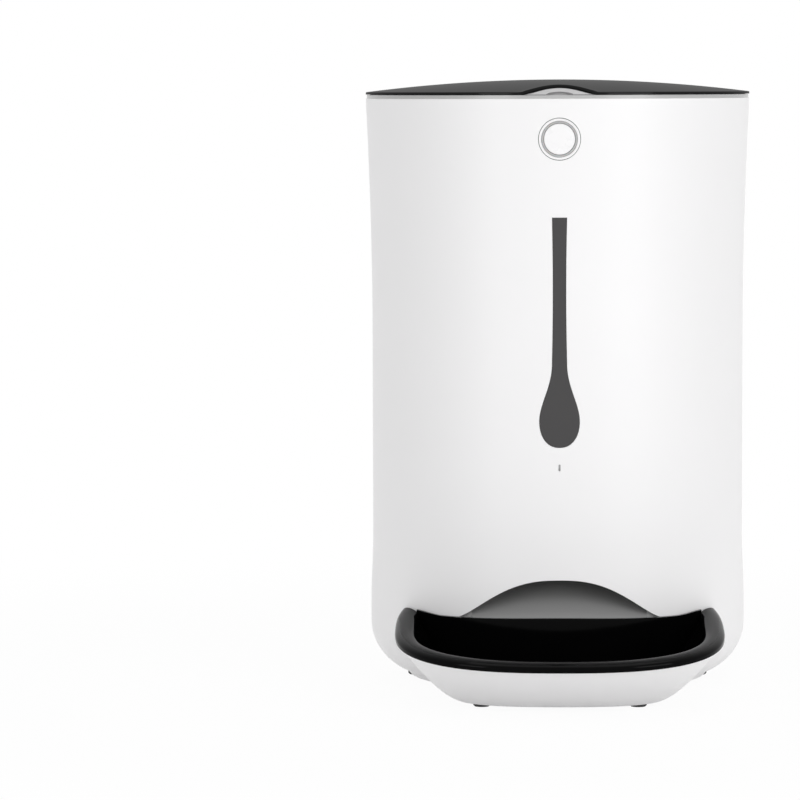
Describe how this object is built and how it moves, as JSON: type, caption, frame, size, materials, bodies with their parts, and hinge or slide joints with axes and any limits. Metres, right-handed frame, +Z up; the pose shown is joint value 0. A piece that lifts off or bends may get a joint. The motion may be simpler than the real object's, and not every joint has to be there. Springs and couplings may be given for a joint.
{
  "type": "automatic pet feeder",
  "caption": "Round upright automatic pet feeder with hinged lid, hopper, metering rotor, drop-shaped camera window, feed button and lift-out bowl in a boat-shaped base.",
  "frame": {"origin": "on the floor, under the middle of the feeder's box", "axes": "+Z up, the bowl and window face -Y, +X to the right seen from the front"},
  "size_m": [0.23, 0.305, 0.36],
  "materials": {
    "white_shell": "moulded, satin gloss",
    "button_white": "moulded, fine satin",
    "inner_white": "moulded, matt",
    "black_gloss": "polished",
    "lid_black": "polished",
    "inner_black": "matt",
    "pale_trim": "moulded, satin",
    "latch_silver": "painted silver, satin",
    "light_ring": "translucent light guide",
    "smoked_window": "smoked acrylic, polished",
    "chute_grey": "moulded, matt",
    "grey_nylon": "moulded, matt",
    "pale_nylon": "moulded, waxy",
    "silicone": "soft silicone",
    "foot_rubber": "matt rubber",
    "steel": "bright zinc or turned steel",
    "bronze": "sintered bronze",
    "motor_metal": "plated steel can",
    "circuit_board": "solder mask",
    "lens_glass": "coated lens",
    "lamp_clear": "clear epoxy",
    "cell_wrap": "plain plastic sleeve"
  },
  "bodies": {
    "body": {"housing": "white_shell", "base_tray": "white_shell", "feet": "foot_rubber", "base_screws": "steel", "deck": "pale_trim", "hopper": "pale_trim", "hopper_funnel": "pale_trim", "drum": "grey_nylon", "metering_shield": "steel", "floor_bush": "bronze", "lower_bush": "bronze", "gearbox": "motor_metal", "motor_can": "motor_metal", "drive_plate": "grey_nylon", "chute": "chute_grey", "drum_screws": "steel", "latch_spring": "steel", "hinge_cover": "lid_black", "hinge_pin": "steel", "hinge_screws": "steel", "button_light_ring": "light_ring", "button_bezel": "button_white", "button_board": "circuit_board", "button_switch": "inner_black", "drop_window": "smoked_window", "camera_holder": "inner_black", "lens_barrel": "inner_black", "lens_glass": "lens_glass", "camera_board": "circuit_board", "infrared_lamps": "lamp_clear", "microphone": "motor_metal", "speaker": "inner_black", "main_board": "circuit_board", "power_inlet": "inner_black", "battery_box": "inner_white", "battery_cells": "cell_wrap", "battery_contacts": "steel"},
    "lid": {"lid": "lid_black", "lid_liner": "pale_trim", "lid_seal": "silicone", "desiccant_box": "inner_white"},
    "desiccant_cap": {"desiccant_cap": "inner_white"},
    "latch": {"latch_button": "latch_silver"},
    "feed_button": {"feed_button": "button_white"},
    "bowl": {"bowl": "black_gloss"},
    "rotor": {"rotor": "pale_nylon", "rotor_shaft": "steel", "stirrer": "pale_nylon", "rotor_gear": "pale_nylon"},
    "pinion": {"motor_pinion": "pale_nylon", "motor_shaft": "steel"},
    "battery_door": {"battery_door": "white_shell"}
  },
  "joints": [
    {"name": "lid_hinge", "type": "hinge", "parent": "body", "child": "lid", "pos_m": [0, 0.137, 0.3534], "axis": [-1, 0, 0], "range_deg": [0, 95]},
    {"name": "desiccant_twist", "type": "hinge", "parent": "lid", "child": "desiccant_cap", "pos_m": [0, 0.0375, 0.335], "axis": [0, 0, 1], "range_deg": [0, 30]},
    {"name": "latch_press", "type": "slide", "parent": "body", "child": "latch", "axis": [0, 1, 0], "range_m": [0, 0.002], "stiffness_N_per_m": 300, "springref_m": -0.003, "deforming": ["latch_spring"]},
    {"name": "feed_button_press", "type": "slide", "parent": "body", "child": "feed_button", "axis": [0, 1, 0], "range_m": [0, 0.001], "stiffness_N_per_m": 800, "springref_m": -0.001},
    {"name": "bowl_lift", "type": "slide", "parent": "body", "child": "bowl", "axis": [0, 0, 1], "range_m": [0, 0.09]},
    {"name": "rotor_spin", "type": "hinge", "parent": "body", "child": "rotor", "pos_m": [0, 0.0375, 0.11], "axis": [0, 0, 1], "continuous": true},
    {"name": "pinion_spin", "type": "hinge", "parent": "body", "child": "pinion", "pos_m": [0, 0.0675, 0.09], "axis": [0, 0, 1], "continuous": true},
    {"name": "battery_door_slide", "type": "slide", "parent": "body", "child": "battery_door", "axis": [0, 1, 0], "range_m": [0, 0.045]}
  ],
  "couplings": [
    {"joint": "pinion_spin", "follows": "rotor_spin", "ratio": -3}
  ]
}
